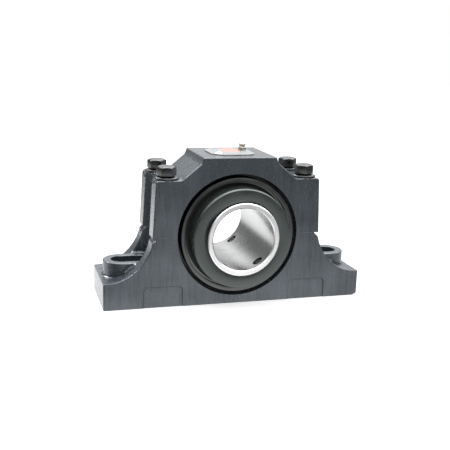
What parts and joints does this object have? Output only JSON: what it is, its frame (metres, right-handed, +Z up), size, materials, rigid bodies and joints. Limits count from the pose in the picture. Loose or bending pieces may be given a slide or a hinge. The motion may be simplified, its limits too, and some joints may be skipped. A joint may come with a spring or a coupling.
{
  "type": "tapered roller pillow block",
  "caption": "Split cast pillow block with slotted feet, holding a self-aligning cartridge of tapered rollers whose inner ring locks to a shaft with set screw collars.",
  "frame": {"origin": "middle of the underside of the base, straight below the shaft axis", "axes": "+X along the base, +Y along the shaft axis away from the viewer, +Z up"},
  "size_m": [0.2666, 0.1104, 0.1546],
  "materials": {
    "cast_paint": "slate grey paint on sand cast iron",
    "bolt_steel": "plain steel, dulled",
    "pin_steel": "ground steel",
    "plate_metal": "satin sheet",
    "screw_steel": "bright plated steel",
    "fitting_nickel": "nickel plated steel",
    "shell_iron": "turned iron",
    "bearing_steel": "ground bearing steel",
    "ring_steel": "ground and polished bearing steel",
    "spring_steel": "blued spring steel",
    "seal_steel": "pressed steel",
    "seal_rubber": "moulded rubber",
    "cage_steel": "pressed steel sheet",
    "collar_steel": "black oxide on turned steel",
    "set_screw_steel": "black oxide on alloy steel"
  },
  "bodies": {
    "housing": {"housing_base": "cast_paint", "housing_cap": "cast_paint", "cap_bolts": "bolt_steel", "cap_washers": "bolt_steel", "dowel_pins": "pin_steel", "nameplate": "plate_metal", "nameplate_drive_screws": "screw_steel", "grease_fitting": "fitting_nickel"},
    "swivel_pin": {"anti_rotation_pin": "pin_steel"},
    "cartridge": {"cartridge_shell": "shell_iron", "cup_front": "bearing_steel", "cup_rear": "bearing_steel", "cup_spacer": "bearing_steel", "snap_ring_front": "spring_steel", "snap_ring_rear": "spring_steel", "seal_case_front": "seal_steel", "seal_case_rear": "seal_steel", "seal_lip_front": "seal_rubber", "seal_lip_rear": "seal_rubber"},
    "shaft_group": {"inner_ring": "ring_steel", "collar_front": "collar_steel", "collar_rear": "collar_steel", "set_screws_front": "set_screw_steel", "set_screws_rear": "set_screw_steel"},
    "front_row": {"rollers_front": "bearing_steel", "cage_front": "cage_steel"},
    "rear_row": {"rollers_rear": "bearing_steel", "cage_rear": "cage_steel"}
  },
  "joints": [
    {"name": "cartridge_yaw", "type": "hinge", "parent": "housing", "child": "swivel_pin", "pos_m": [0, 0, 0.06985], "axis": [0, 0, 1], "range_deg": [-2, 2]},
    {"name": "cartridge_pitch", "type": "hinge", "parent": "swivel_pin", "child": "cartridge", "pos_m": [0, 0, 0.06985], "axis": [1, 0, 0], "range_deg": [-2, 2]},
    {"name": "shaft_spin", "type": "hinge", "parent": "cartridge", "child": "shaft_group", "pos_m": [0, 0, 0.06985], "axis": [0, 1, 0], "continuous": true},
    {"name": "front_row_spin", "type": "hinge", "parent": "cartridge", "child": "front_row", "pos_m": [0, 0, 0.06985], "axis": [0, 1, 0], "continuous": true},
    {"name": "rear_row_spin", "type": "hinge", "parent": "cartridge", "child": "rear_row", "pos_m": [0, 0, 0.06985], "axis": [0, 1, 0], "continuous": true}
  ],
  "couplings": [
    {"joint": "front_row_spin", "follows": "shaft_spin", "ratio": 0.4494},
    {"joint": "rear_row_spin", "follows": "shaft_spin", "ratio": 0.4494}
  ]
}
